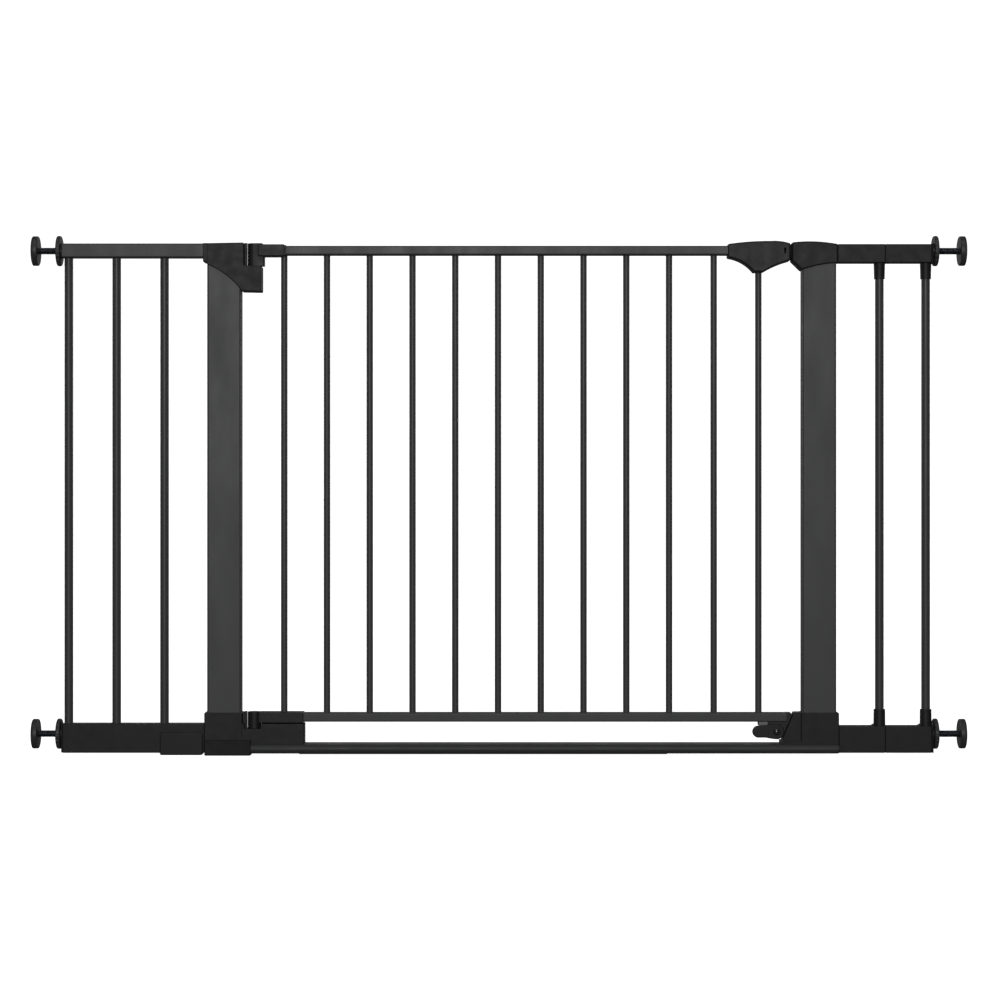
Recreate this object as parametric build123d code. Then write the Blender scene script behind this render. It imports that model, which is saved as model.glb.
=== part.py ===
"""Pressure-fit safety gate with a swinging door, two side extensions and four wall spindles.

Millimetres. +X runs from the hinge side to the latch side, +Z is up, and -Y is the front, the side
that the stop lever is on. The origin is on the floor, midway between the walls and midway
through the gate's depth. Each function makes one physical piece, and the last block writes each of
them to parts/NAME.step. A piece's ends are given as x0, x1 (left, right), y0, y1 (front, back) and
z0, z1 (bottom, top).
"""

from math import ceil, cos, radians, sin, sqrt, tan
import os

from build123d import *

# ---- Overall sizes ---------------------------------------------------------------------------
gate_height = 730.0            # floor to the crown of the handle
doorway_width = 797.0          # between the two posts
left_extension_width = 205.8   # hinge post to the left end of the frame
module_width = 65.9            # one single-bar extension module on the latch side
module_count = 2
hinge_side_reach = 43.6        # end of the frame to the wall
latch_side_reach = 48.0
floor_gap = 2.5                # base bar to the floor, the thickness of the shoe under it
extension_gap = 3.0            # extension mouldings to the floor

# ---- Tubes and bars --------------------------------------------------------------------------
post_width, post_depth, post_wall, post_corner = 48.2, 28.0, 1.5, 3.0
base_height, base_depth, base_wall = 13.3, 44.0, 1.5
door_rail_height, door_rail_depth, door_rail_wall, door_rail_corner = 12.8, 22.0, 1.2, 2.0
top_rail_height, top_rail_depth, top_rail_wall, top_rail_corner = 19.8, 25.0, 1.2, 2.0
tube_inner_corner = 0.3
door_bar_radius = 4.7
extension_bar_radius = 6.2
max_door_pitch = 62.0          # widest bar spacing in the door that is still safe
latch_side_pitch = 63.6        # the two spaces next to the handle's bar
max_extension_pitch = 72.0

# ---- Clearances ------------------------------------------------------------------------------
snug = 0.15                    # a moulding over a tube, or a bar in its hole
press = 0.02                   # a pressed-in pin
running = 0.05                 # radial, a pin in a turning bush
free = 0.3                     # between pieces that move past each other

# ---- Moulded pieces --------------------------------------------------------------------------
wall = 2.2                     # wall of the handle and the hinge arms
mould_depth = post_depth + 2 * wall   # front to back of the post brackets
collar_depth = top_rail_depth + 6.6
edge = 1.4                     # rounding of moulded edges
cover_edge = 2.4               # rounding of the handle and the strike cap
cover_corner = 2.0             # rounding of their corners, seen from the front

# ---- Levels ----------------------------------------------------------------------------------
base_z0 = floor_gap
base_z1 = base_z0 + base_height
upper_spindle_z = gate_height - 13.4
lower_spindle_z = 29.3
post_z1 = gate_height - 6.0
door_bottom_z0 = 46.9
door_bottom_z1 = door_bottom_z0 + door_rail_height
door_top_z1 = gate_height - 6.7
door_top_z0 = door_top_z1 - door_rail_height
top_rail_z0 = upper_spindle_z - top_rail_height / 2
top_rail_z1 = upper_spindle_z + top_rail_height / 2

# ---- Stations along the gate -----------------------------------------------------------------
module_lead = 3.9              # latch post to the nominal start of the first module
module_collar = 1.0            # last module to the end of the frame
module_bar_inset = 6.9         # a module's bar to the module's outer end
right_extension_width = module_lead + module_count * module_width + module_collar
total_width = (
    hinge_side_reach
    + left_extension_width
    + 2 * post_width
    + doorway_width
    + right_extension_width
    + latch_side_reach
)
frame_x0 = -total_width / 2 + hinge_side_reach
hinge_post_x0 = frame_x0 + left_extension_width
doorway_x0 = hinge_post_x0 + post_width
doorway_x1 = doorway_x0 + doorway_width
latch_post_x1 = doorway_x1 + post_width
frame_x1 = latch_post_x1 + right_extension_width
hinge_post_x = hinge_post_x0 + post_width / 2
latch_post_x = doorway_x1 + post_width / 2

# ---- Hinge -----------------------------------------------------------------------------------
hinge_offset = 18.0            # hinge axis to the hinge post
hinge_x = doorway_x0 + hinge_offset
pin_radius = 4.0
bush_flange_radius, bush_flange = 8.2, 1.5
bush_hex = 12.0                # across the flats of the bush's body
bush_height = 17.0
lift = 10.0                    # how far the door rises on its pins
pin_stand = 19.0               # pin above its ledge
upper_barrel_radius, lower_barrel_radius = 9.6, 9.6
barrel_gap = 1.0               # lug to barrel
lug_depth = 6.0
upper_ledge_z, lower_ledge_z = gate_height - 35.2, 37.3
pin_depth = lower_ledge_z - base_z1 - 0.7   # down to just above the base bar
barrel_gap_x = doorway_x0 + 4.3
upper_ledge_x1 = hinge_x + 11.2
upper_bracket_z0 = gate_height - 72.0
foot_z1 = 60.3
foot_z0 = base_z1 - 2.5
foot_x0 = hinge_post_x0 - 3.8   # where the left extension's lower rail ends
ledge_block_x1 = hinge_x + 71.6
ledge_block_z1 = door_bottom_z0 - 2.3
arm_depth = door_rail_depth + 4.0
upper_arm_x1, lower_arm_x1 = hinge_x + 43.5, hinge_x + 70.5

# ---- Latch -----------------------------------------------------------------------------------
cap_x0 = doorway_x1 - 14.6
cap_x1 = latch_post_x1 + 2.0
handle_gap = 2.4
handle_length = 88.6
handle_depth = door_rail_depth + 6.0
handle_x1 = cap_x0 - handle_gap
handle_x0 = handle_x1 - handle_length
handle_bar_x = handle_x1 - 44.3
handle_bar_z1 = gate_height - 29.0
handle_rail_x1 = handle_x0 + 27.0
bolt_height, bolt_depth = 8.0, 10.0
bolt_z = gate_height - 20.0
bolt_throw = 12.0              # travel of the thumb slide
bolt_reach = 9.0               # how far the bolt stands out of the handle
bolt_x0 = handle_x1 - 36.4
spring_x0 = bolt_x0 - 20.0
spring_radius, spring_wire, spring_turns = 3.1, 0.8, 6
thumb_length, thumb_width = 22.0, 18.0
thumb_x1 = handle_x1 - 7.2
track_z = gate_height - 4.0    # floor of the track that the thumb slide runs in
track_floor = 2.5
stem_length, stem_depth = 6.0, 5.6
stem_x0 = thumb_x1 - 14.2
window_x0, window_x1 = handle_x1 - 9.0, handle_x1 - 6.2
window_z0, window_z1 = gate_height - 18.0, gate_height - 9.6
screw_radius, screw_head_radius, screw_head = 1.75, 3.3, 2.2
bracket_screw_radius, bracket_screw_head_radius, bracket_screw_head = 2.0, 4.0, 2.4
boss_radius = 3.6

# ---- Door catch, foot bracket and stop lever ------------------------------------------------------
latch_foot_x0, latch_foot_x1 = doorway_x1 - 2.0, latch_post_x1 + 3.6
base_bar_x1 = latch_foot_x1 - 1.8
nose_top_x = doorway_x1 - 11.6
nose_slant = 22.8              # degrees from upright
nose_depth = door_rail_depth
skirt_height = 4.2             # the full-depth foot of the nose above the base bar
catch_gap = 1.5
lever_x, lever_z = doorway_x1 - 36.9, 33.4
lever_length = 25.8            # pivot to the centre of the lever's tip
lever_hub_radius, lever_tip_radius = 10.8, 8.5
lever_thickness = 4.7
lever_y1 = -door_rail_depth / 2 - free
lever_y0 = lever_y1 - lever_thickness
rivet_radius, rivet_head_radius, rivet_head = 3.0, 5.15, 3.2
lug_radius = 9.2
door_rail_x0, door_rail_x1 = hinge_x + 16.5, doorway_x1 - 22.6

# ---- Spindles --------------------------------------------------------------------------------
rod_radius = 5.0               # M10
rod_inside = 28.5              # rod inside the frame's end
pad_radius, pad_rubber, pad_holder = 21.1, 3.5, 5.2
rod_socket = 3.0               # depth of the rod in the pad holder
nut_radius, nut_disc, nut_hub_radius, nut_hub = 21.6, 6.2, 11.0, 0.7
nut_flutes, flute_radius, flute_depth = 20, 2.2, 0.6
plug_flange, plug_body = 1.5, 14.0

# ---- Extension mouldings --------------------------------------------------------------------------
left_bottom_z1 = 44.2
module_depth = top_rail_depth
module_top_height, module_bottom_height = 26.2, 37.8
module_top_z1 = gate_height - 4.4
module_wall = 2.5
collar_rise = 1.2              # the upper end plug's flange above and below its moulding
socket_length, socket_radius, socket_seat = 22.7, extension_bar_radius + 2.0, 2.4
bottom_socket_length = 23.4
end_block = 16.0               # solid end of a moulding, where its dowel or spindle goes
spigot = 10.0
dowel_radius, dowel_length = 5.0, 28.0
clip_x0, clip_x1 = hinge_post_x0 - 66.9, hinge_post_x0 - 6.0
clip_wall, clip_z1 = 2.5, 32.0
shoe_x0, shoe_x1 = hinge_post_x0 - 2.7, doorway_x0 + 14.6
shoe_depth, shoe_z1 = base_depth + 3.0, 21.9
strip_x0, strip_x1 = shoe_x1 + 68.0, doorway_x1 - 192.3
strip_depth, strip_z0 = 26.0, 1.4


# ---- Helpers ---------------------------------------------------------------------------------
def block(x0, x1, y0, y1, z0, z1, radius=0.0):
    """A box between two corners, with all its edges rounded if a radius is given."""
    made = Pos((x0 + x1) / 2, (y0 + y1) / 2, (z0 + z1) / 2) * Box(x1 - x0, y1 - y0, z1 - z0)
    return fillet(made.edges(), radius) if radius else made


def deep_block(x0, x1, depth, z0, z1, radius=0.0):
    """A box that is centred front to back."""
    return block(x0, x1, -depth / 2, depth / 2, z0, z1, radius)


def rod_x(x0, x1, radius, z, y=0.0):
    return Pos((x0 + x1) / 2, y, z) * Rot(0, 90, 0) * Cylinder(radius, x1 - x0)


def rod_y(y0, y1, radius, x, z):
    return Pos(x, (y0 + y1) / 2, z) * Rot(90, 0, 0) * Cylinder(radius, y1 - y0)


def rod_z(z0, z1, radius, x, y=0.0):
    return Pos(x, y, (z0 + z1) / 2) * Cylinder(radius, z1 - z0)


def tube_x(x0, x1, depth, height, z, thickness, corner):
    """A rectangular tube along X, centred at height z."""
    outer = Rectangle(depth, height)
    inner = Rectangle(depth - 2 * thickness, height - 2 * thickness)
    section = fillet(outer.vertices(), corner) - fillet(inner.vertices(), tube_inner_corner)
    return Plane(origin=(x0, 0, z), x_dir=(0, 1, 0), z_dir=(1, 0, 0)) * extrude(section, x1 - x0)


def oval_x(x0, x1, grow=0.0):
    """The base bar's outer shape, a flat oval along X, larger all round by grow."""
    section = SlotOverall(base_depth + 2 * grow, base_height + 2 * grow)
    plane = Plane(origin=(x0, 0, base_z0 + base_height / 2), x_dir=(0, 1, 0), z_dir=(1, 0, 0))
    return plane * extrude(section, x1 - x0)


def plate(outline, depth, radius=0.0, corner=0.0):
    """A closed XZ outline made into a plate that is centred front to back, its rims rounded."""
    face = make_face(outline)
    if corner:
        face = fillet(face.vertices(), corner)
    made = extrude(face, depth / 2, dir=(0, 1, 0), both=True)
    if radius:
        rims = made.faces().filter_by(Axis.Y).edges()
        made = fillet(rims, radius)
    return made


def outline_of(*points):
    """Straight edges through XZ points, closed. A point with a fourth part starts an arc there."""
    edges = []
    for here, there in zip(points, points[1:] + points[:1]):
        a, b = (here[0], 0, here[1]), (there[0], 0, there[1])
        if len(here) == 4:
            edges.append(ThreePointArc(a, (here[2], 0, here[3]), b))
        else:
            edges.append(Line(a, b))
    return edges


# ---- Frame -----------------------------------------------------------------------------------
def base_bar():
    inner = oval_x(hinge_post_x0 - 1, base_bar_x1 + 1, -base_wall)
    return oval_x(hinge_post_x0, base_bar_x1) - inner


def base_bar_end_plug():
    body = oval_x(base_bar_x1 - 9.0, base_bar_x1, -base_wall - snug)
    return body + oval_x(base_bar_x1, base_bar_x1 + plug_flange, -0.4)


def base_grip_strip():
    """The thin strip under the base bar that keeps it from sliding on the floor."""
    middle_z = base_z0 + base_height / 2
    strip = deep_block(strip_x0, strip_x1, strip_depth, strip_z0, middle_z)
    return strip - oval_x(strip_x0 - 1, strip_x1 + 1)


def post(x0):
    """A flat post, standing on the base bar, with its screw and dowel holes."""
    section = fillet(Rectangle(post_width, post_depth).vertices(), post_corner)
    inner = Rectangle(post_width - 2 * post_wall, post_depth - 2 * post_wall)
    section -= fillet(inner.vertices(), post_corner - post_wall)
    middle = x0 + post_width / 2
    tube = Pos(middle, 0, base_z1) * extrude(section, post_z1 - base_z1)
    outer_side = -1 if middle < 0 else 1
    outer_x = middle + outer_side * post_width / 2
    for z in (lower_spindle_z, upper_spindle_z):
        tube -= rod_x(outer_x - 4, outer_x + 4, dowel_radius + snug, z)
    for z in bracket_screw_levels():
        tube -= rod_y(0, post_depth, bracket_screw_radius + snug, middle, z)
    return tube


def bracket_screw_levels():
    return lower_spindle_z + 17.0, upper_spindle_z - 14.0


def bracket_screws():
    """Four pan-head screws that hold the brackets to the posts, from the back."""
    face = mould_depth / 2
    made = []
    for x in (hinge_post_x, latch_post_x):
        for z in bracket_screw_levels():
            head = rod_y(face, face + bracket_screw_head, bracket_screw_head_radius, x, z)
            head = fillet(head.edges().sort_by(Axis.Y)[-1], 1.2)
            made.append(head + rod_y(post_depth / 2 - 8.0, face, bracket_screw_radius, x, z))
    return made


def post_cavity(x0, z0, z1):
    """The space a post and its clearance take inside a bracket."""
    return deep_block(x0 - snug, x0 + post_width + snug, post_depth + 2 * snug, z0, z1)


def screw_hole(x, z):
    return rod_y(0, mould_depth, bracket_screw_radius + snug, x, z)


def barrel_lug(ledge_z, z1, radius):
    """A hollow-faced lug that closes the gap between a bracket and a hinge barrel."""
    lug = deep_block(barrel_gap_x - 1.0, hinge_x - 0.6 * radius, lug_depth, ledge_z - 1.0, z1)
    lug = fillet(lug.edges().filter_by(Axis.Y).group_by(Axis.Z)[-1], 1.2)
    return lug - rod_z(ledge_z, z1 + 1, radius + barrel_gap, hinge_x)


def pin_hole(ledge_z):
    return rod_z(ledge_z - pin_depth, ledge_z + 1, pin_radius + press, hinge_x)


def hinge_pin(ledge_z):
    pin = rod_z(ledge_z - pin_depth, ledge_z + pin_stand, pin_radius, hinge_x)
    return chamfer(pin.edges().sort_by(Axis.Z)[-1], 1.0)


def hinge_post_top_bracket():
    """The cap on the hinge post: a collar for the extension's rail and a ledge for the hinge pin."""
    x0, top = hinge_post_x0, gate_height - 2.5
    shoulder_z = upper_bracket_z0 + 38.5
    shape = plate(
        outline_of(
            (x0 - 0.2, top - 0.9),
            (barrel_gap_x, top),
            (barrel_gap_x, upper_ledge_z),
            (upper_ledge_x1, upper_ledge_z),
            (upper_ledge_x1, upper_bracket_z0),
            (doorway_x0 + 1.2, upper_bracket_z0 + 0.6, x0 + post_width * 0.64, upper_bracket_z0 + 20.5),
            (x0 - 0.2, shoulder_z),
        ),
        mould_depth,
        edge,
        cover_corner,
    )
    collar = deep_block(x0 - 5.6, x0 + 1.0, collar_depth, upper_spindle_z - 16.5, top - 0.8, 1.0)
    rail_hole = deep_block(
        x0 - 6.6,
        x0 + 1.5,
        top_rail_depth + 2 * snug,
        top_rail_z0 - snug,
        top_rail_z1 + snug,
    )
    shape = shape + collar - post_cavity(x0, upper_bracket_z0 - 1, post_z1 + snug) - rail_hole
    shape += barrel_lug(upper_ledge_z, top + 0.4, upper_barrel_radius)
    return shape - pin_hole(upper_ledge_z) - screw_hole(hinge_post_x, bracket_screw_levels()[1])


def hinge_post_foot_bracket():
    """The sleeve round the hinge post's foot, with a notched block for the lower pin."""
    x0, x1 = foot_x0, doorway_x0 + 1.9
    sleeve = deep_block(x0, x1, mould_depth, foot_z0, foot_z1, edge)
    ledge = deep_block(x1 - 4.0, ledge_block_x1, mould_depth - 0.8, foot_z0, ledge_block_z1, edge)
    notch = deep_block(
        barrel_gap_x, hinge_x + lower_barrel_radius + 0.9, mould_depth + 2, lower_ledge_z, foot_z1
    )
    hollow_x0 = hinge_x + pin_radius + 5.0
    hollow_z1 = ledge_block_z1 - module_wall
    hollow = deep_block(hollow_x0, ledge_block_x1 - module_wall, mould_depth - 6, foot_z0 - 1, hollow_z1)
    hollow -= block(hollow_x0, hinge_x + lower_barrel_radius + 4, -20, 20, lower_ledge_z - 3, hollow_z1)
    shape = sleeve + ledge - notch - hollow
    shape += barrel_lug(lower_ledge_z, foot_z1 + 1.2, lower_barrel_radius)
    shape -= post_cavity(hinge_post_x0, foot_z0 - 1, foot_z1 + 1)
    shape -= oval_x(x0 - 1, ledge_block_x1 + 1, snug)
    shape -= rod_x(x0 - 1, hinge_post_x0 + 1, dowel_radius + snug, lower_spindle_z)
    return shape - pin_hole(lower_ledge_z) - screw_hole(hinge_post_x, bracket_screw_levels()[0])


def nose_face_x(z, gap=0.0):
    """Where the nose's slanted face is at height z, or a face that far short of it."""
    slant = radians(nose_slant)
    return nose_top_x - gap / cos(slant) - (foot_z1 - z) * tan(slant)


def latch_post_foot_bracket():
    """The sleeve round the latch post's foot, with a slanted nose that guides the door's catch."""
    sleeve = deep_block(latch_foot_x0, latch_foot_x1, mould_depth, foot_z0, foot_z1, edge)
    nose = plate(
        outline_of(
            (nose_face_x(base_z1), base_z1),
            (nose_top_x, foot_z1),
            (latch_foot_x0 + 3.0, foot_z1),
            (latch_foot_x0 + 3.0, base_z1),
        ),
        nose_depth,
    )
    nose = fillet(nose.edges().filter_by(Axis.Y).group_by(Axis.Z)[-1].sort_by(Axis.X)[0], 1.5)
    skirt_x0 = nose_face_x(base_z1)
    nose += deep_block(skirt_x0, latch_foot_x0 + 3.0, mould_depth - 0.8, foot_z0, base_z1 + skirt_height)
    shape = sleeve + nose - post_cavity(doorway_x1, foot_z0 - 1, foot_z1 + 1)
    shape -= oval_x(latch_foot_x0 - 40, latch_foot_x1 + 1, snug)
    shape -= rod_x(latch_post_x1 - 1, latch_foot_x1 + 1, dowel_radius + snug, lower_spindle_z)
    return shape - screw_hole(latch_post_x, bracket_screw_levels()[0])


def strike_cap():
    """The cap on the latch post, with a pocket that the bolt shoots into."""
    top = gate_height - 0.8
    shape = plate(
        outline_of(
            (cap_x0, top - 1.4, (cap_x0 + cap_x1) / 2 - 3.8, top),
            (cap_x1, gate_height - 4.6),
            (cap_x1, gate_height - 31.8, (cap_x0 + cap_x1) / 2 + 3.2, gate_height - 35.3),
            (cap_x0 + 13.8, gate_height - 41.4),
            (cap_x0, gate_height - 28.0),
        ),
        mould_depth,
        cover_edge,
        cover_corner,
    )
    pocket = deep_block(
        cap_x0 - 1,
        cap_x0 + bolt_reach,
        bolt_depth + 3.0,
        bolt_z - bolt_height / 2 - 1.5,
        bolt_z + bolt_height / 2 + lift + 1.0,
    )
    shape = shape - pocket - post_cavity(doorway_x1, gate_height - 60, post_z1 + snug)
    shape -= rod_x(latch_post_x1 - 1, cap_x1 + 1, dowel_radius + snug, upper_spindle_z)
    return shape - screw_hole(latch_post_x, bracket_screw_levels()[1])


def hinge_post_shoe():
    """The soft shoe that wraps the base bar's hinge end and stands on the floor."""
    shape = deep_block(shoe_x0, shoe_x1, shoe_depth, 0, shoe_z1, edge)
    shape -= oval_x(hinge_post_x0 - snug, shoe_x1 + 1, snug)
    bracket_space = mould_depth + 2 * snug
    return shape - deep_block(shoe_x0 - 1, shoe_x1 + 1, bracket_space, foot_z0 - snug, shoe_z1 + 1)


# ---- Left extension --------------------------------------------------------------------------
def left_extension_bar_stations():
    """Bars with equal clear gaps from the frame's end to the hinge post."""
    first = frame_x0 + extension_bar_radius + 1.4
    room = hinge_post_x0 + extension_bar_radius - first
    gaps = ceil(room / max_extension_pitch)
    return [first + i * room / gaps for i in range(gaps)]


def left_extension_bars():
    return [
        rod_z(left_bottom_z1, top_rail_z0, extension_bar_radius, x)
        for x in left_extension_bar_stations()
    ]


def left_extension_top_rail():
    return tube_x(
        frame_x0,
        hinge_post_x0,
        top_rail_depth,
        top_rail_height,
        upper_spindle_z,
        top_rail_wall,
        top_rail_corner,
    )


def left_extension_bottom_rail():
    """The moulded lower rail: solid ends for its spindle and dowel, cored out from below between."""
    x1 = foot_x0
    shape = deep_block(frame_x0, x1, module_depth, extension_gap, left_bottom_z1, edge)
    shape -= deep_block(
        frame_x0 + end_block,
        x1 - end_block,
        module_depth - 2 * module_wall,
        extension_gap - 1,
        left_bottom_z1 - module_wall,
    )
    shape -= rod_x(frame_x0 - 1, frame_x0 + end_block + 1, rod_radius + free, lower_spindle_z)
    return shape - rod_x(x1 - end_block - 1, x1 + 1, dowel_radius + snug, lower_spindle_z)


def left_extension_clip():
    """The clip that grips the lower rail from below, next to the hinge post."""
    outer = deep_block(clip_x0, clip_x1, module_depth + 2 * clip_wall, 0, clip_z1)
    outer = fillet(outer.edges().filter_by(Axis.Y), 3.0)
    outer = fillet(outer.faces().filter_by(Axis.Y).edges(), edge)
    return outer - deep_block(
        clip_x0 - 1, clip_x1 + 1, module_depth + 2 * snug, extension_gap - snug, clip_z1 + 1
    )


# ---- Right extension -------------------------------------------------------------------------
def module_end(index):
    """The outer end of module 0, 1, ... counted from the latch post."""
    return latch_post_x1 + module_lead + (index + 1) * module_width


def module_start(index, upper):
    first = (cap_x1 if upper else latch_foot_x1) + free
    return first if index == 0 else module_end(index - 1)


def module_moulding(index, upper):
    """One module's top or bottom moulding: a cored box with a socket for its bar."""
    x0, x1 = module_start(index, upper), module_end(index)
    z0 = module_top_z1 - module_top_height if upper else extension_gap
    z1 = module_top_z1 if upper else extension_gap + module_bottom_height
    axis_z = upper_spindle_z if upper else lower_spindle_z
    core_height = module_core_height(upper)
    body = deep_block(x0, x1, module_depth, z0, z1, 1.2)
    bar_x = x1 - module_bar_inset
    if upper:
        socket = Pos(bar_x, 0, z0 - socket_length / 2 + 1.0) * Cone(
            socket_radius - 0.6, socket_radius, socket_length + 2.0
        )
        bore = rod_z(z0 - socket_length - 1, z0 + socket_seat, extension_bar_radius + snug, bar_x)
    else:
        socket = Pos(bar_x, 0, z1 + bottom_socket_length / 2 - 1.0) * Cone(
            socket_radius + 0.3, socket_radius, bottom_socket_length + 2.0
        )
        socket += socket_ramp(bar_x, z1)
        bore = rod_z(z1 - socket_seat, z1 + bottom_socket_length + 1, extension_bar_radius + snug, bar_x)
    core = module_core(x0 + end_block, x1 + 1, axis_z, core_height)
    rise = collar_rise if upper and index == module_count - 1 else 0.0
    neighbour = deep_block(x1, x1 + 2 * socket_radius, module_depth, z0 - rise, z1 + rise)
    shape = body + socket - neighbour - bore - core
    if index == 0:
        return shape - rod_x(x0 - 1, x0 + end_block + 1, dowel_radius + snug, axis_z)
    tongue = module_core(x0 - spigot, x0 + 1.0, axis_z, core_height - 2 * snug, 2 * snug)
    return shape + tongue - rod_x(x0 - spigot - 1, x0 + end_block + 1, rod_radius + free, axis_z)


def socket_ramp(bar_x, z):
    """The web that slopes up to a lower socket."""
    foot, top, inside = bar_x - socket_radius - 5.9, bar_x - socket_radius + 0.6, bar_x - socket_radius + 3.6
    return plate(outline_of((foot, z - 0.5), (top, z + 3.2), (inside, z + 3.2), (inside, z - 0.5)), 8.0)


def module_core_height(upper):
    return 2 * (module_top_z1 - upper_spindle_z - 1.6) if upper else 14.0


def module_core(x0, x1, axis_z, height, less=0.0):
    half = height / 2
    return deep_block(x0, x1, module_depth - 2 * module_wall - less, axis_z - half, axis_z + half)


def right_extension_bars():
    z0 = extension_gap + module_bottom_height - socket_seat
    z1 = module_top_z1 - module_top_height + socket_seat
    return [
        rod_z(z0, z1, extension_bar_radius, module_end(i) - module_bar_inset)
        for i in range(module_count)
    ]


def extension_dowels():
    """Four dowels that key the extensions to the posts at the spindles' levels."""
    made = []
    for z in (lower_spindle_z, upper_spindle_z):
        for x in (hinge_post_x0, latch_post_x1):
            dowel = rod_x(x - dowel_length / 2, x + dowel_length / 2, dowel_radius, z)
            made.append(chamfer(dowel.edges(), 0.8))
    return made


def dowel_plug():
    """The plug in the hinge end of the left extension's top rail, round its dowel."""
    x1 = hinge_post_x0 - 0.2
    depth = top_rail_depth - 2 * top_rail_wall - 2 * snug
    half = top_rail_height / 2 - top_rail_wall - snug
    plug = deep_block(x1 - plug_body - 1, x1, depth, upper_spindle_z - half, upper_spindle_z + half, 0.6)
    return plug - rod_x(x1 - plug_body - 2, x1 + 1, dowel_radius + press, upper_spindle_z)


# ---- Spindles --------------------------------------------------------------------------------
def end_plug(side, z):
    """The plug in one end of the frame that a spindle runs through, with its thrust flange."""
    end = frame_x0 if side < 0 else frame_x1
    upper = z == upper_spindle_z
    if side < 0:
        z0, z1 = (top_rail_z0, top_rail_z1) if upper else (extension_gap, left_bottom_z1)
        depth = (top_rail_depth if upper else module_depth) - 1.0
        flange = deep_block(end - plug_flange, end, depth, z0 + 0.5, z1 - 0.5, 0.6)
        if upper:
            half = top_rail_height / 2 - top_rail_wall - snug
            body_depth = top_rail_depth - 2 * top_rail_wall - 2 * snug
            flange += deep_block(end - 0.5, end + plug_body, body_depth, z - half, z + half)
    else:
        inner = end - module_collar
        half = module_core_height(upper) / 2 - snug
        rise = collar_rise if upper else 0.0
        z0 = module_top_z1 - module_top_height - rise if upper else extension_gap
        z1 = module_top_z1 + rise if upper else extension_gap + module_bottom_height
        flange = deep_block(inner, end + plug_flange, module_depth + 1.0, z0, z1)
        flange = chamfer(flange.faces().sort_by(Axis.X)[0].edges(), 1.1)
        flange = fillet(flange.faces().sort_by(Axis.X)[-1].edges(), 1.2)
        flange += module_core(inner - plug_body, inner + 1.0, z, 2 * half, 2 * snug)
    return flange - rod_x(end - 30, end + 30, rod_radius + 0.2, z)


def spindle_end_plugs():
    return [end_plug(side, z) for side in (-1, 1) for z in (lower_spindle_z, upper_spindle_z)]


def outward(side, distance):
    """A station this far out from the end of the frame on one side."""
    return frame_x0 - distance if side < 0 else frame_x1 + distance


def reach(side):
    return hinge_side_reach if side < 0 else latch_side_reach


def between(side, near, far):
    a, b = outward(side, near), outward(side, far)
    return min(a, b), max(a, b)


def spindle_rod(side, z):
    far_end = reach(side) - pad_rubber - pad_holder + rod_socket
    rod = rod_x(*between(side, -rod_inside, far_end), rod_radius, z)
    return chamfer(rod.edges(), 0.8)


def pad_holder_disc(side, z):
    """The disc that is screwed on the rod's end and carries the rubber pad."""
    inner = reach(side) - pad_rubber - pad_holder
    x0, x1 = between(side, inner, inner + pad_holder)
    disc = rod_x(x0, x1, pad_radius, z)
    inner_rim = disc.edges().filter_by(GeomType.CIRCLE).sort_by(Axis.X)[-1 if side < 0 else 0]
    disc = fillet(inner_rim, 1.6)
    return disc - rod_x(*between(side, inner - 1, inner + rod_socket), rod_radius + press, z)


def rubber_pad(side, z):
    """The rubber facing that bears on the wall."""
    x0, x1 = between(side, reach(side) - pad_rubber, reach(side))
    disc = rod_x(x0, x1, pad_radius, z)
    outer_rim = disc.edges().filter_by(GeomType.CIRCLE).sort_by(Axis.X)[0 if side < 0 else -1]
    return fillet(outer_rim, 1.4)


def hand_nut(side, z):
    """The hand wheel that runs on the rod and pushes it out against the wall."""
    inner = plug_flange + free
    disc = rod_x(*between(side, inner + nut_hub, inner + nut_hub + nut_disc), nut_radius, z)
    disc = fillet(disc.edges().filter_by(GeomType.CIRCLE), 2.0)
    nut = disc + rod_x(*between(side, inner, inner + nut_hub + 1), nut_hub_radius, z)
    flute_ring = nut_radius + flute_radius - flute_depth
    for i in range(nut_flutes):
        angle = radians(360 / nut_flutes * i)
        nut -= rod_x(
            *between(side, inner, inner + nut_hub + nut_disc + 1),
            flute_radius,
            z + flute_ring * sin(angle),
            flute_ring * cos(angle),
        )
    return nut - rod_x(*between(side, inner - 1, inner + nut_hub + nut_disc + 1), rod_radius + 0.1, z)


# ---- Door ------------------------------------------------------------------------------------
def hinge_bush(ledge_z):
    """A flanged bush that turns on the hinge pin; its six-sided body slides in the door's barrel."""
    flange = rod_z(ledge_z + 0.05, ledge_z + bush_flange, bush_flange_radius, hinge_x)
    body = Pos(hinge_x, 0, ledge_z + bush_flange) * extrude(hexagon(bush_hex), bush_height - bush_flange)
    return flange + body - rod_z(ledge_z - 1, ledge_z + bush_height + 1, pin_radius + running, hinge_x)


def hexagon(across_flats):
    return RegularPolygon(across_flats / 2, 6, major_radius=False)


def barrel_bore(ledge_z):
    """The socket in a hinge barrel for the bush, its flange and the pin, open below."""
    z0 = ledge_z + bush_flange
    recess = rod_z(ledge_z, z0 + 0.1, bush_flange_radius + free, hinge_x)
    hex_hole = Pos(hinge_x, 0, z0 - 1) * extrude(hexagon(bush_hex + 2 * snug), bush_height + 1.5)
    return recess + hex_hole + rod_z(z0, ledge_z + pin_stand + 1.5, pin_radius + 1.0, hinge_x)


def door_bar_stations():
    """The door's bars, from the hinge side to the bar that carries the handle."""
    first = hinge_x + 42.4
    last_even = handle_bar_x - 2 * latch_side_pitch
    gaps = ceil((last_even - first) / max_door_pitch)
    even = [first + i * (last_even - first) / gaps for i in range(gaps + 1)]
    return even + [last_even + latch_side_pitch, handle_bar_x]


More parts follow.
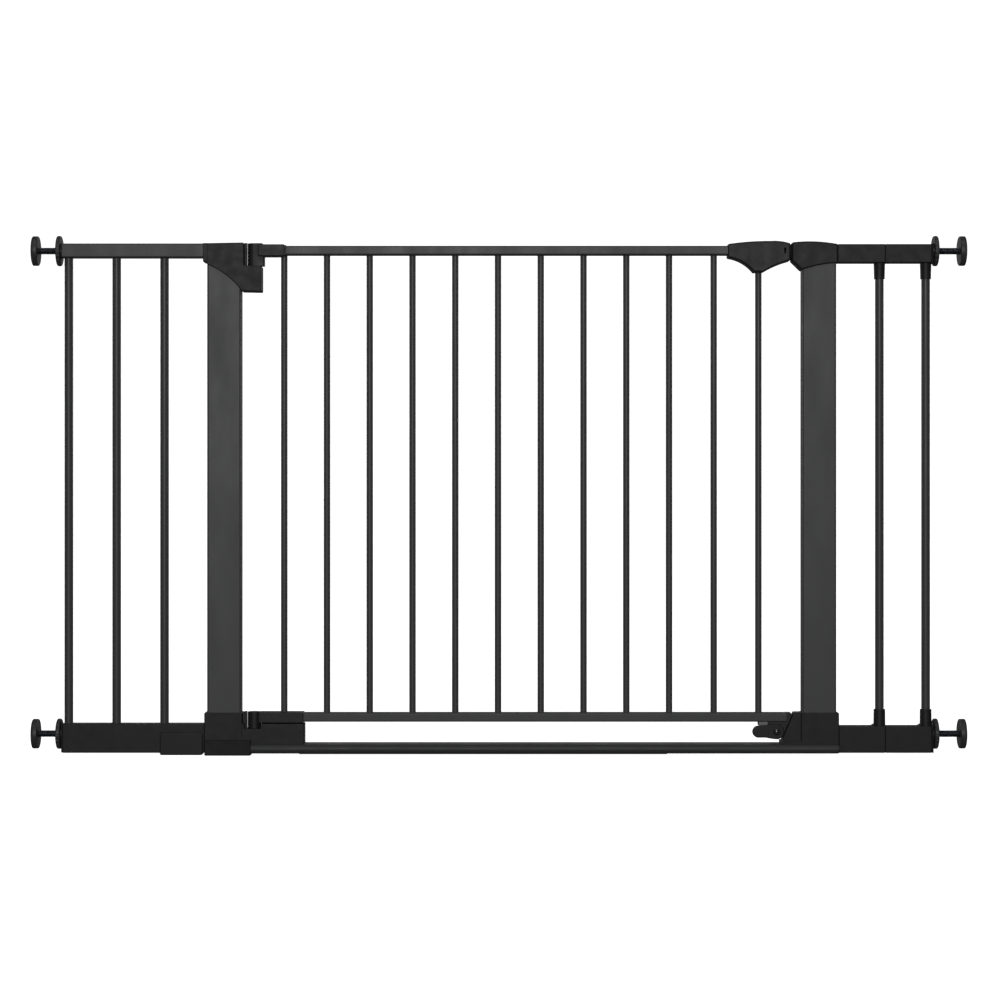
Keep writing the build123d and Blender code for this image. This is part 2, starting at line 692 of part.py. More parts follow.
def door_bars():
    stations = door_bar_stations()
    bars = [rod_z(door_bottom_z1, door_top_z0, door_bar_radius, x) for x in stations[:-1]]
    return bars + [rod_z(door_bottom_z1, handle_bar_z1, door_bar_radius, stations[-1])]


def door_rail(x0, x1, z0):
    middle = z0 + door_rail_height / 2
    return tube_x(
        x0, x1, door_rail_depth, door_rail_height, middle, door_rail_wall, door_rail_corner
    )


def door_top_rail():
    rail = door_rail(door_rail_x0, handle_rail_x1, door_top_z0)
    x, z = handle_screw_stations()[0]
    return rail - rod_y(-20, 20, screw_radius + snug, x, z)


def door_bottom_rail():
    return door_rail(door_rail_x0, door_rail_x1, door_bottom_z0)


def rail_space(x0, x1, z0):
    """A door rail and its clearance inside a moulding."""
    depth = door_rail_depth + 2 * snug
    return deep_block(x0, x1, depth, z0 - snug, z0 + door_rail_height + snug)


def door_upper_hinge_arm():
    """The door's top hinge: a barrel over the pin and a sleeve over the rail."""
    z0, z1 = upper_ledge_z + free, gate_height - 2.9
    barrel = rod_z(z0, z1, upper_barrel_radius, hinge_x)
    cheek = deep_block(hinge_x, hinge_x + 14.6, 2 * upper_barrel_radius, z0, z1)
    cheek = chamfer(cheek.edges().filter_by(Axis.Y).group_by(Axis.Z)[-1].sort_by(Axis.X)[-1], 3.0)
    cheek = fillet(cheek.edges().filter_by(Axis.Z).group_by(Axis.X)[-1], 2.0)
    sleeve = deep_block(
        hinge_x + 6.0, upper_arm_x1, arm_depth, door_top_z0 - 2.0, door_top_z1 + 2.0, edge
    )
    taper = deep_block(
        upper_arm_x1 - 1, upper_arm_x1 + 2.5, arm_depth - 2.4, door_top_z0 - 0.9, door_top_z1 + 0.9, 0.8
    )
    sleeve_cut = rod_z(z0 - 1, z1 + 1, upper_barrel_radius + 3.0, hinge_x)
    shape = barrel + cheek + (sleeve + taper - sleeve_cut)
    shape -= rail_space(door_rail_x0, upper_arm_x1 + 4, door_top_z0)
    shape -= rod_z(door_top_z0 - 6, door_top_z0 + 1, door_bar_radius + snug, door_bar_stations()[0])
    return shape - barrel_bore(upper_ledge_z)


def door_lower_hinge_arm():
    """The door's bottom hinge: a barrel that stands in the foot bracket's notch, and a sleeve."""
    z0, z1 = lower_ledge_z + free, door_bottom_z1 + 1.4
    barrel = rod_z(z0, z1, lower_barrel_radius, hinge_x)
    barrel = fillet(barrel.edges().sort_by(Axis.Z)[-1], 1.2)
    sleeve = deep_block(
        hinge_x + 6.5, lower_arm_x1, arm_depth - 0.6, door_bottom_z0 - 1.6, door_bottom_z1 + 1.0, edge
    )
    shape = barrel + sleeve - rail_space(door_rail_x0, lower_arm_x1 + 1, door_bottom_z0)
    shape -= rod_z(door_bottom_z1 - 1, door_bottom_z1 + 4, door_bar_radius + snug, door_bar_stations()[0])
    return shape - barrel_bore(lower_ledge_z)


# ---- Handle and latch ------------------------------------------------------------------------
def handle_outline():
    """The handle seen from the front: a crowned top and two hollow flanks down to the bar."""
    x0, x1, top = handle_x0, handle_x1, gate_height
    return outline_of(
        (x0, top - 4.3, x0 + 27.5, top - 1.2),
        (x0 + 60.5, top, x0 + 78.0, top - 0.8),
        (x1, top - 3.4),
        (x1, top - 27.8, x0 + 67.5, top - 35.0),
        (handle_bar_x + door_bar_radius + 1.2, top - 44.2),
        (handle_bar_x - door_bar_radius - 2.7, top - 44.2, x0 + 21.0, top - 30.6),
        (x0, top - 23.6),
    )


def handle_screw_stations():
    """Through the rail, above the spring and below the bolt."""
    return [
        (handle_x0 + 13.0, door_top_z0 + door_rail_height / 2),
        (spring_x0 + 5.0, gate_height - 11.0),
        (handle_x0 + 59.0, gate_height - 31.0),
    ]


def handle_inside():
    """What is hollow inside the handle, with its ribs, bosses and floors already left out."""
    inner = offset(make_face(handle_outline()), -wall)
    hollow = extrude(inner, handle_depth / 2 - wall, dir=(0, 1, 0), both=True)
    half = handle_depth / 2
    foot = deep_block(
        handle_bar_x - 9.5, handle_bar_x + 9.5, handle_depth, gate_height - 45, handle_bar_z1 + 1.0
    )
    spring_seat = deep_block(spring_x0 - 2.5, spring_x0, handle_depth, gate_height - 45, gate_height)
    guide_x = bolt_x0 + 8.0
    guide = deep_block(guide_x, guide_x + 3.0, handle_depth, gate_height - 45, gate_height)
    floor_x0 = thumb_x1 - thumb_length - bolt_throw - 3
    floor = deep_block(floor_x0, handle_x1, handle_depth, track_z - track_floor, gate_height)
    hollow = hollow - foot - spring_seat - guide - floor
    for x, z in handle_screw_stations()[1:]:
        hollow -= rod_y(-half, half, boss_radius, x, z)
    return hollow


def handle_openings():
    """The holes in the handle: rail, bar, bolt, thumb slide and its stem."""
    half = handle_depth / 2
    bolt_space = free / 2 + snug
    channel = deep_block(
        bolt_x0 - 1,
        handle_x1 + 1,
        bolt_depth + 2 * bolt_space,
        bolt_z - bolt_height / 2 - bolt_space,
        bolt_z + bolt_height / 2 + bolt_space,
    )
    track_x0 = thumb_x1 - thumb_length - bolt_throw - 0.5
    track = deep_block(track_x0, thumb_x1 + 0.5, thumb_width + 0.8, track_z, gate_height + 1)
    slot_z0 = bolt_z + bolt_height / 2
    slot = deep_block(
        stem_x0 - bolt_throw - 0.5, stem_x0 + stem_length + 0.5, stem_depth + 0.8, slot_z0, gate_height
    )
    window = block(window_x0, window_x1, -half - 1, 0, window_z0, window_z1)
    cut = channel + track + slot + window
    cut += rail_space(handle_x0 - 1, handle_rail_x1 + 0.3, door_top_z0)
    cut += rod_z(gate_height - 46, handle_bar_z1 + 0.2, door_bar_radius + snug, handle_bar_x)
    for x, z in handle_screw_stations():
        cut += rod_y(-half + wall + 0.8, half + 1, screw_radius + press, x, z)
        cut += rod_y(half - screw_head - 0.2, half + 1, screw_head_radius + 0.2, x, z)
    return cut


def handle_shell(front):
    """One half of the handle, split on its middle plane."""
    solid = plate(handle_outline(), handle_depth, cover_edge, cover_corner)
    whole = solid - handle_inside() - handle_openings()
    half = handle_depth / 2 + 1
    y0, y1 = (-half, 0) if front else (0, half)
    return whole & block(handle_x0 - 5, handle_x1 + 5, y0, y1, gate_height - 60, gate_height + 5)


def handle_screws():
    """Three pan-head screws that join the handle's halves, from the back."""
    back = handle_depth / 2 - 0.2
    made = []
    for x, z in handle_screw_stations():
        shank = rod_y(-handle_depth / 2 + wall + 1.0, back - screw_head, screw_radius, x, z)
        head = rod_y(back - screw_head, back, screw_head_radius, x, z)
        slot = block(x - 2.0, x + 2.0, back - 1.0, back + 1, z - 0.4, z + 0.4)
        cross = block(x - 0.4, x + 0.4, back - 1.0, back + 1, z - 2.0, z + 2.0)
        made.append(shank + fillet(head.edges().sort_by(Axis.Y)[-1], 0.6) - slot - cross)
    return made


def latch_bolt():
    """The bolt, with a bevelled nose; it shows in the handle's window when it is shot."""
    z0, z1 = bolt_z - bolt_height / 2, bolt_z + bolt_height / 2
    bar = deep_block(bolt_x0, handle_x1 + bolt_reach, bolt_depth, z0, z1)
    return chamfer(bar.faces().sort_by(Axis.X)[-1].edges().filter_by(Axis.Z), 2.5)


def thumb_slide():
    """The ridged pad on top of the handle, with a stem down to the bolt."""
    pad_z0 = track_z + 0.2
    pad_z1 = gate_height - 1.9
    pad = deep_block(thumb_x1 - thumb_length, thumb_x1, thumb_width, pad_z0, pad_z1)
    pad = fillet(pad.edges().filter_by(Axis.Z), 2.0)
    for i in range(6):
        ridge_x = thumb_x1 - thumb_length + 3.0 + i * 3.2
        pad += deep_block(ridge_x - 0.7, ridge_x + 0.7, thumb_width - 5, pad_z1 - 0.5, pad_z1 + 0.9)
    stem = deep_block(stem_x0, stem_x0 + stem_length, stem_depth, bolt_z + bolt_height / 2, pad_z0 + 0.5)
    return pad + stem


def latch_spring():
    """The coil spring behind the bolt."""
    length = bolt_x0 - spring_x0 - spring_wire
    helix = Helix(pitch=length / spring_turns, height=length, radius=spring_radius)
    wire = sweep(Plane(origin=helix @ 0, z_dir=helix % 0) * Circle(spring_wire / 2), path=helix)
    return Pos(spring_x0 + spring_wire / 2, 0, bolt_z) * Rot(0, 90, 0) * wire


# ---- Bottom catch and stop lever -----------------------------------------------------------------
def door_bottom_catch():
    """The plug in the bottom rail's end, with a lug that carries the stop lever."""
    slant = radians(nose_slant)
    tangent_x, tangent_z = lever_x + lug_radius * cos(slant), lever_z - lug_radius * sin(slant)
    end = plate(
        outline_of(
            (door_rail_x1, door_bottom_z0),
            (door_rail_x1, door_bottom_z1),
            (nose_face_x(door_bottom_z1, catch_gap) - 2.5, door_bottom_z1),
            (nose_face_x(door_bottom_z1 - 4.0, catch_gap), door_bottom_z1 - 4.0),
            (nose_face_x(door_bottom_z0, catch_gap), door_bottom_z0),
        ),
        door_rail_depth,
    )
    lug = plate(
        outline_of(
            (lever_x - 11.8, door_bottom_z0),
            (nose_face_x(door_bottom_z0, catch_gap), door_bottom_z0),
            (tangent_x, tangent_z),
            (lever_x - lug_radius, lever_z),
        ),
        door_rail_depth,
    )
    lug += rod_y(-door_rail_depth / 2, door_rail_depth / 2, lug_radius, lever_x, lever_z)
    inner = door_rail_wall + snug
    plug = deep_block(
        door_rail_x1 - plug_body - 4,
        door_rail_x1 + 1,
        door_rail_depth - 2 * inner,
        door_bottom_z0 + inner,
        door_bottom_z1 - inner,
    )
    return end + lug + plug - rod_y(-20, 20, rivet_radius + press, lever_x, lever_z)


def stop_lever():
    """The lever that is swung over the nose to let the door open one way only."""
    tip_x = lever_x - lever_length
    hub = rod_y(lever_y0, lever_y1, lever_hub_radius, lever_x, lever_z)
    tip = rod_y(lever_y0, lever_y1, lever_tip_radius, tip_x, lever_z)
    arm = plate(
        outline_of(
            (tip_x, lever_z + lever_tip_radius),
            (lever_x, lever_z + lever_hub_radius),
            (lever_x, lever_z - lever_hub_radius, lever_x - 8.0, lever_z - 9.9),
            (lever_x - 15.0, lever_z - lever_tip_radius),
            (tip_x, lever_z - lever_tip_radius),
        ),
        lever_thickness,
    )
    lever = hub + tip + Pos(0, (lever_y0 + lever_y1) / 2, 0) * arm
    lever = fillet(lever.faces().filter_by(Axis.Y).sort_by(Axis.Y)[0].edges(), 1.2)
    return lever - rod_y(-30, 0, rivet_radius + 0.1, lever_x, lever_z)


def stop_lever_rivet():
    """The domed rivet that the lever turns on."""
    face = lever_y0 - 0.1
    back = door_rail_depth / 2
    dome_radius = (rivet_head_radius**2 + rivet_head**2) / (2 * rivet_head)
    dome = Pos(lever_x, face - rivet_head + dome_radius, lever_z) * Sphere(dome_radius)
    dome &= rod_y(face - rivet_head - 1, face, rivet_head_radius, lever_x, lever_z)
    shank = rod_y(face - 0.5, back, rivet_radius, lever_x, lever_z)
    return dome + shank + rod_y(back, back + 1.5, rivet_radius + 1.5, lever_x, lever_z)


def lever_rest_pad():
    """The plate under the rail that the lever's tip lies against."""
    z0 = lever_z + lever_tip_radius - 0.6
    return deep_block(lever_x - 24.6, lever_x - 12.1, door_rail_depth, z0, door_bottom_z0, 0.4)


# ---- Write the pieces ------------------------------------------------------------------------
spindles = {
    "lower_left": (-1, lower_spindle_z),
    "upper_left": (-1, upper_spindle_z),
    "lower_right": (1, lower_spindle_z),
    "upper_right": (1, upper_spindle_z),
}

pieces = {
    "base_bar": base_bar(),
    "base_bar_end_plug": base_bar_end_plug(),
    "base_grip_strip": base_grip_strip(),
    "hinge_post": post(hinge_post_x0),
    "latch_post": post(doorway_x1),
    "hinge_post_top_bracket": hinge_post_top_bracket(),
    "hinge_post_foot_bracket": hinge_post_foot_bracket(),
    "hinge_post_shoe": hinge_post_shoe(),
    "latch_post_foot_bracket": latch_post_foot_bracket(),
    "strike_cap": strike_cap(),
    "bracket_screws": bracket_screws(),
    "upper_hinge_pin": hinge_pin(upper_ledge_z),
    "lower_hinge_pin": hinge_pin(lower_ledge_z),
    "left_extension_bars": left_extension_bars(),
    "left_extension_top_rail": left_extension_top_rail(),
    "left_extension_bottom_rail": left_extension_bottom_rail(),
    "left_extension_clip": left_extension_clip(),
    "left_extension_dowel_plug": dowel_plug(),
    "right_extension_bars": right_extension_bars(),
    "extension_dowels": extension_dowels(),
    "spindle_end_plugs": spindle_end_plugs(),
    "upper_hinge_bush": hinge_bush(upper_ledge_z),
    "lower_hinge_bush": hinge_bush(lower_ledge_z),
    "door_bars": door_bars(),
    "door_top_rail": door_top_rail(),
    "door_bottom_rail": door_bottom_rail(),
    "door_upper_hinge_arm": door_upper_hinge_arm(),
    "door_lower_hinge_arm": door_lower_hinge_arm(),
    "door_bottom_catch": door_bottom_catch(),
    "handle_front_shell": handle_shell(True),
    "handle_rear_shell": handle_shell(False),
    "handle_screws": handle_screws(),
    "latch_bolt": latch_bolt(),
    "latch_spring": latch_spring(),
    "thumb_slide": thumb_slide(),
    "stop_lever": stop_lever(),
    "stop_lever_rivet": stop_lever_rivet(),
    "lever_rest_pad": lever_rest_pad(),
}
for i in range(module_count):
    pieces[f"right_extension_top_{i + 1}"] = module_moulding(i, True)
    pieces[f"right_extension_bottom_{i + 1}"] = module_moulding(i, False)
for name, (side, z) in spindles.items():
    pieces[f"spindle_rod_{name}"] = spindle_rod(side, z)
    pieces[f"pad_holder_{name}"] = pad_holder_disc(side, z)
    pieces[f"rubber_pad_{name}"] = rubber_pad(side, z)
    pieces[f"hand_nut_{name}"] = hand_nut(side, z)

os.makedirs("parts", exist_ok=True)
for name, piece in pieces.items():
    solids = [s for p in (piece if isinstance(piece, list) else [piece]) for s in p.solids()]
    export_step(Compound(children=solids) if len(solids) > 1 else solids[0], f"parts/{name}.step")
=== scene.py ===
"""Baby safety gate: materials, small parts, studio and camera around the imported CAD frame."""

from math import cos, pi, radians, sin, tau

import bmesh
import bpy
from mathutils import Matrix, Vector


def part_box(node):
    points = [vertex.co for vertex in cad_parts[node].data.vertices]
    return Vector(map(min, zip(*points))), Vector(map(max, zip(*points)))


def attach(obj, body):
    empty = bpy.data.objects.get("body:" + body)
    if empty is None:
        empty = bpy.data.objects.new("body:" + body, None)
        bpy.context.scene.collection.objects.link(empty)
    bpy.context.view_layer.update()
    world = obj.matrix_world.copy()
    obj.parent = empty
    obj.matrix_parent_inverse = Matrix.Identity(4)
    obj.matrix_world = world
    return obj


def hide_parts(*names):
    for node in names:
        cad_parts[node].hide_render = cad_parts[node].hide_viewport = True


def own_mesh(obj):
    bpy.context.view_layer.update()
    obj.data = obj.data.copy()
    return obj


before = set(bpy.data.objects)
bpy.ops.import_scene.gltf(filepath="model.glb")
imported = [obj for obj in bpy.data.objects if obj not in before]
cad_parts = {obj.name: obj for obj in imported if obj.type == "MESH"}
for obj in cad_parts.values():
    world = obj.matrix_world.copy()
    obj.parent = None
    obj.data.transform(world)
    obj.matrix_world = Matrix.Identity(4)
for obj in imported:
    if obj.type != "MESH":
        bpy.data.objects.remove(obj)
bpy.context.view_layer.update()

SPINDLES = ("lower_left", "upper_left", "lower_right", "upper_right")
THREAD_PITCH = 0.0015
THREAD_DEPTH = 0.00075
WELD_SIZE = 0.0011
SPRING_WIRE = 0.0008
SPRING_TURNS = 6
SCREW_HEAD_RADIUS = 0.0040
SCREW_HEAD_HEIGHT = 0.0024
SCREW_SHANK_RADIUS = 0.0020
MID_HEIGHT = 0.3
PAD_RIM = 0.0014
PAD_GROOVES = (0.0160, 0.0122, 0.0084, 0.0046)
GROOVE_DEPTH = 0.0007
GROOVE_HALF_TOP = 0.0008
GROOVE_HALF_FLOOR = 0.0005
BAR_SPACING_MIN = 0.02


# ---- Materials -------------------------------------------------------------------------------
class Painter:
    """A material and short ways to add its nodes."""

    def __init__(self, name, roughness, metallic=0.0, specular=0.5):
        self.material = bpy.data.materials.new(name)
        self.material.use_nodes = True
        self.nodes = self.material.node_tree.nodes
        self.links = self.material.node_tree.links
        self.shader = self.nodes["Principled BSDF"]
        self.shader.inputs["Metallic"].default_value = metallic
        self.shader.inputs["Roughness"].default_value = roughness
        self.shader.inputs["Specular IOR Level"].default_value = specular
        self.place = self.nodes.new("ShaderNodeTexCoord").outputs["Object"]
        self.normal = None

    def noise(self, scale, detail=3.0, stretch=(1, 1, 1), roughness=0.5):
        mapping = self.nodes.new("ShaderNodeMapping")
        mapping.inputs["Scale"].default_value = stretch
        texture = self.nodes.new("ShaderNodeTexNoise")
        texture.inputs["Scale"].default_value = scale
        texture.inputs["Detail"].default_value = detail
        texture.inputs["Roughness"].default_value = roughness
        self.links.new(self.place, mapping.inputs["Vector"])
        self.links.new(mapping.outputs["Vector"], texture.inputs["Vector"])
        return texture.outputs["Fac"]

    def cells(self, scale):
        texture = self.nodes.new("ShaderNodeTexVoronoi")
        texture.feature = "SMOOTH_F1"
        texture.inputs["Scale"].default_value = scale
        self.links.new(self.place, texture.inputs["Vector"])
        return texture.outputs["Distance"]

    def span(self, value, low, high, out_low, out_high):
        node = self.nodes.new("ShaderNodeMapRange")
        node.clamp = True
        for name, number in (
            ("From Min", low),
            ("From Max", high),
            ("To Min", out_low),
            ("To Max", out_high),
        ):
            node.inputs[name].default_value = number
        self.links.new(value, node.inputs["Value"])
        return node.outputs["Result"]

    def ramp(self, value, *stops):
        node = self.nodes.new("ShaderNodeValToRGB")
        elements = node.color_ramp.elements
        while len(elements) < len(stops):
            elements.new(0.5)
        for element, (position, colour) in zip(elements, stops):
            element.position = position
            element.color = (*colour, 1.0)
        self.links.new(value, node.inputs["Fac"])
        return node.outputs["Color"]

    def blend(self, factor, under, over):
        node = self.nodes.new("ShaderNodeMix")
        node.data_type = "RGBA"
        self.links.new(factor, node.inputs["Factor"])
        self.links.new(under, node.inputs[6])
        self.links.new(over, node.inputs[7])
        return node.outputs[2]

    def colour(self, output):
        self.links.new(output, self.shader.inputs["Base Color"])

    def roughness(self, output):
        self.links.new(output, self.shader.inputs["Roughness"])

    def bump(self, height, strength, distance):
        """Adds a layer of relief on top of those already there."""
        node = self.nodes.new("ShaderNodeBump")
        node.inputs["Strength"].default_value = strength
        node.inputs["Distance"].default_value = distance
        self.links.new(height, node.inputs["Height"])
        if self.normal is not None:
            self.links.new(self.normal, node.inputs["Normal"])
        self.normal = node.outputs["Normal"]
        self.links.new(self.normal, self.shader.inputs["Normal"])

    def edge_wear(self, radius):
        """1 on sharp edges, 0 on flat faces, from how far the rounded normal turns."""
        bevel = self.nodes.new("ShaderNodeBevel")
        bevel.samples = 4
        bevel.inputs["Radius"].default_value = radius
        plain = self.nodes.new("ShaderNodeNewGeometry")
        dot = self.nodes.new("ShaderNodeVectorMath")
        dot.operation = "DOT_PRODUCT"
        self.links.new(bevel.outputs["Normal"], dot.inputs[0])
        self.links.new(plain.outputs["Normal"], dot.inputs[1])
        return self.span(dot.outputs["Value"], 0.97, 0.75, 0.0, 1.0)


def shade(colour, factor):
    return tuple(channel * factor for channel in colour)


def powder_coat(name, colour, roughness=0.42, peel=0.14):
    """Baked powder paint: fine orange peel, faint clouding, edges slightly thin."""
    paint = Painter(name, roughness, specular=0.22)
    cloud = paint.noise(9.0, 4.0)
    body = paint.ramp(cloud, (0.30, shade(colour, 0.95)), (0.72, shade(colour, 1.05)))
    speck = paint.noise(2600.0, 1.0)
    flecks = paint.span(speck, 0.66, 0.74, 0.0, 0.30)
    fleck_colour = paint.ramp(speck, (0.0, shade(colour, 1.4)), (1.0, shade(colour, 1.7)))
    body = paint.blend(flecks, body, fleck_colour)
    edges = paint.ramp(cloud, (0.3, shade(colour, 1.12)), (0.7, shade(colour, 1.25)))
    paint.colour(paint.blend(paint.edge_wear(0.0007), body, edges))
    smear = paint.noise(34.0, 5.0, (1, 1, 0.35))
    paint.roughness(paint.span(smear, 0.3, 0.7, roughness - 0.05, roughness + 0.07))
    paint.bump(paint.noise(620.0, 2.0), peel, 0.00012)
    paint.bump(paint.noise(2100.0, 1.0), peel / 2, 0.00004)
    return paint.material


def moulded(name, colour, roughness=0.5, grain=0.22, specular=0.2):
    """Injection-moulded plastic: spark-eroded grain, flow clouding, polished high spots."""
    paint = Painter(name, roughness, specular=specular)
    flow = paint.noise(22.0, 5.0, (1, 1, 0.5))
    body = paint.ramp(flow, (0.28, shade(colour, 0.94)), (0.74, shade(colour, 1.07)))
    rubbed = paint.ramp(flow, (0.3, shade(colour, 1.12)), (0.7, shade(colour, 1.3)))
    paint.colour(paint.blend(paint.edge_wear(0.0008), body, rubbed))
    dust = paint.noise(75.0, 6.0)
    paint.roughness(paint.span(dust, 0.3, 0.72, roughness - 0.05, roughness + 0.08))
    paint.bump(paint.cells(1500.0), grain, 0.00008)
    paint.bump(paint.noise(3400.0, 2.0), grain * 0.6, 0.00003)
    return paint.material


def elastomer(name, colour):
    """Soft rubber: matt bloom, dust in the texture and fine pits."""
    paint = Painter(name, 0.72, specular=0.25)
    bloom = paint.noise(40.0, 6.0)
    dusty = paint.ramp(
        bloom, (0.25, shade(colour, 0.9)), (0.60, colour), (0.85, shade(colour, 1.35))
    )
    paint.colour(dusty)
    paint.roughness(paint.span(bloom, 0.3, 0.7, 0.66, 0.84))
    paint.bump(paint.noise(1900.0, 3.0), 0.35, 0.00010)
    return paint.material


def black_zinc(name, colour, roughness=0.30):
    """Passivated steel, blue-black, with lighter worn crests and faint drawing marks."""
    paint = Painter(name, roughness, 0.85)
    tint = paint.noise(160.0, 4.0)
    body = paint.ramp(tint, (0.25, shade(colour, 0.7)), (0.75, shade(colour, 1.4)))
    worn = paint.ramp(tint, (0.3, shade(colour, 2.6)), (0.8, shade(colour, 3.6)))
    paint.colour(paint.blend(paint.edge_wear(0.0003), body, worn))
    marks = paint.noise(420.0, 3.0, (1, 4, 4))
    paint.roughness(paint.span(marks, 0.3, 0.7, roughness - 0.08, roughness + 0.12))
    paint.bump(paint.noise(900.0, 3.0, (1, 5, 5)), 0.12, 0.00005)
    return paint.material


def drawn_steel(name, colour, roughness=0.28):
    """Bright drawn steel with lines along it and dull patches of oil."""
    paint = Painter(name, roughness, 1.0)
    lines = paint.noise(260.0, 3.0, (6, 6, 0.4))
    paint.colour(paint.ramp(lines, (0.3, shade(colour, 0.8)), (0.7, shade(colour, 1.1))))
    paint.roughness(paint.span(paint.noise(90.0, 5.0), 0.3, 0.7, roughness - 0.06, roughness + 0.14))
    paint.bump(lines, 0.10, 0.00004)
    return paint.material


def gloss_dome(name, colour):
    """Polished dark dome with hairline scratches."""
    paint = Painter(name, 0.14)
    paint.shader.inputs["Coat Weight"].default_value = 0.6
    paint.shader.inputs["Coat Roughness"].default_value = 0.08
    cloud = paint.noise(300.0, 4.0)
    paint.colour(paint.ramp(cloud, (0.3, shade(colour, 0.85)), (0.7, shade(colour, 1.2))))
    paint.roughness(paint.span(paint.noise(1500.0, 2.0, (8, 1, 1)), 0.45, 0.75, 0.12, 0.26))
    paint.bump(paint.noise(700.0, 2.0), 0.04, 0.00004)
    return paint.material


STEEL_GREY = (0.0525, 0.0530, 0.0545)
BAR_GREY = (0.0500, 0.0505, 0.0520)
PLASTIC_GREY = (0.0128, 0.0130, 0.0135)
KNOB_GREY = (0.0300, 0.0304, 0.0312)
PLASTIC_LIGHT = (0.150, 0.152, 0.156)
# Near-black painted shade: the latch bolt sits deep in its window, and this colour stands in for the
# shade there.
BOLT_PAINTED_SHADE_BLACK = (0.0040, 0.0041, 0.0043)

paint_frame = powder_coat("powder_coat_frame", STEEL_GREY)
paint_door = powder_coat("powder_coat_door", shade(STEEL_GREY, 0.90))
# Painted shade: the base bar gets the frame's coat darkened to 0.68, standing in for the shade that
# falls on its top under the door.
paint_base_painted_shade = powder_coat("powder_coat_base_painted_shade", shade(STEEL_GREY, 0.68), 0.50)
paint_bars = powder_coat("powder_coat_bars", BAR_GREY, 0.38, 0.05)
plastic = moulded("moulded_black", PLASTIC_GREY)
plastic_handle = moulded("moulded_handle", shade(PLASTIC_GREY, 1.05), 0.46, 0.16)
plastic_bracket = moulded("moulded_bracket", shade(PLASTIC_GREY, 0.97), 0.50, 0.24)
plastic_lever = moulded("moulded_lever", shade(PLASTIC_GREY, 0.72), 0.42, 0.14, 0.2)
# Painted shade: the bolt material is made near-black to stand in for the shade inside the bolt's
# window.
plastic_bolt_painted_shade = moulded("moulded_bolt_painted_shade", BOLT_PAINTED_SHADE_BLACK, 0.55, 0.14, 0.1)
plastic_knob = moulded("moulded_knob", KNOB_GREY, 0.40, 0.10, 0.35)
plastic_light = moulded("moulded_grey", PLASTIC_LIGHT, 0.44, 0.14)
rubber_shoe = elastomer("rubber_shoe", (0.0128, 0.0130, 0.0134))
rubber_pads = elastomer("rubber_pads", (0.0330, 0.0334, 0.0342))
zinc_rods = black_zinc("black_zinc_rods", (0.050, 0.054, 0.066))
zinc_screws = black_zinc("black_zinc_screws", (0.060, 0.061, 0.064), 0.34)
steel_pins = drawn_steel("drawn_steel_pins", (0.52, 0.52, 0.53))
dome = gloss_dome("gloss_dome", (0.015, 0.0152, 0.016))

CAD_LOOKS = {
    paint_base_painted_shade: ("base_bar",),
    paint_frame: ("hinge_post", "latch_post", "left_extension_top_rail"),
    paint_door: ("door_top_rail", "door_bottom_rail"),
    paint_bars: ("door_bars", "left_extension_bars", "right_extension_bars"),
    plastic: (
        "base_bar_end_plug",
        "left_extension_bottom_rail",
        "left_extension_dowel_plug",
        "right_extension_top_1",
        "right_extension_top_2",
        "right_extension_bottom_1",
        "right_extension_bottom_2",
        "spindle_end_plugs",
    ),
    plastic_knob: (
        *[f"pad_holder_{name}" for name in SPINDLES],
        *[f"hand_nut_{name}" for name in SPINDLES],
    ),
    plastic_handle: (
        "handle_front_shell",
        "handle_rear_shell",
        "door_upper_hinge_arm",
        "door_lower_hinge_arm",
        "door_bottom_catch",
    ),
    plastic_bracket: (
        "hinge_post_top_bracket",
        "hinge_post_foot_bracket",
        "latch_post_foot_bracket",
        "strike_cap",
    ),
    plastic_lever: ("thumb_slide", "stop_lever", "left_extension_clip"),
    plastic_bolt_painted_shade: ("latch_bolt", "upper_hinge_bush", "lower_hinge_bush"),
    plastic_light: ("lever_rest_pad",),
    rubber_shoe: ("hinge_post_shoe", "base_grip_strip"),
    zinc_screws: ("handle_screws", "upper_hinge_pin", "lower_hinge_pin"),
    steel_pins: ("extension_dowels",),
    dome: ("stop_lever_rivet",),
}
for look, names in CAD_LOOKS.items():
    for name in names:
        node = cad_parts[name]
        node.data.materials.clear()
        node.data.materials.append(look)


# ---- Mesh helpers ----------------------------------------------------------------------------
def new_piece(name, bm, material, body, sharp):
    """Makes a smooth-shaded object from a bmesh, with its origin at the frame's origin."""
    bmesh.ops.remove_doubles(bm, verts=bm.verts, dist=1e-7)
    bmesh.ops.dissolve_degenerate(bm, dist=1e-7, edges=bm.edges)
    bmesh.ops.recalc_face_normals(bm, faces=bm.faces)
    mesh = bpy.data.meshes.new(name)
    bm.to_mesh(mesh)
    bm.free()
    mesh.materials.append(material)
    mesh.shade_smooth()
    mesh.set_sharp_from_angle(angle=radians(sharp))
    piece = bpy.data.objects.new(name, mesh)
    bpy.context.scene.collection.objects.link(piece)
    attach(piece, body)
    return piece


def middle(name):
    low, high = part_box(name)
    return (Vector(low) + Vector(high)) / 2


def stations(name):
    """The X of each upright bar in a node, from gaps between its points."""
    xs = sorted(v.co.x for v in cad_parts[name].data.vertices)
    runs = [[xs[0]]]
    for x in xs[1:]:
        if x - runs[-1][-1] > BAR_SPACING_MIN:
            runs.append([])
        runs[-1].append(x)
    return [(run[0] + run[-1]) / 2 for run in runs]


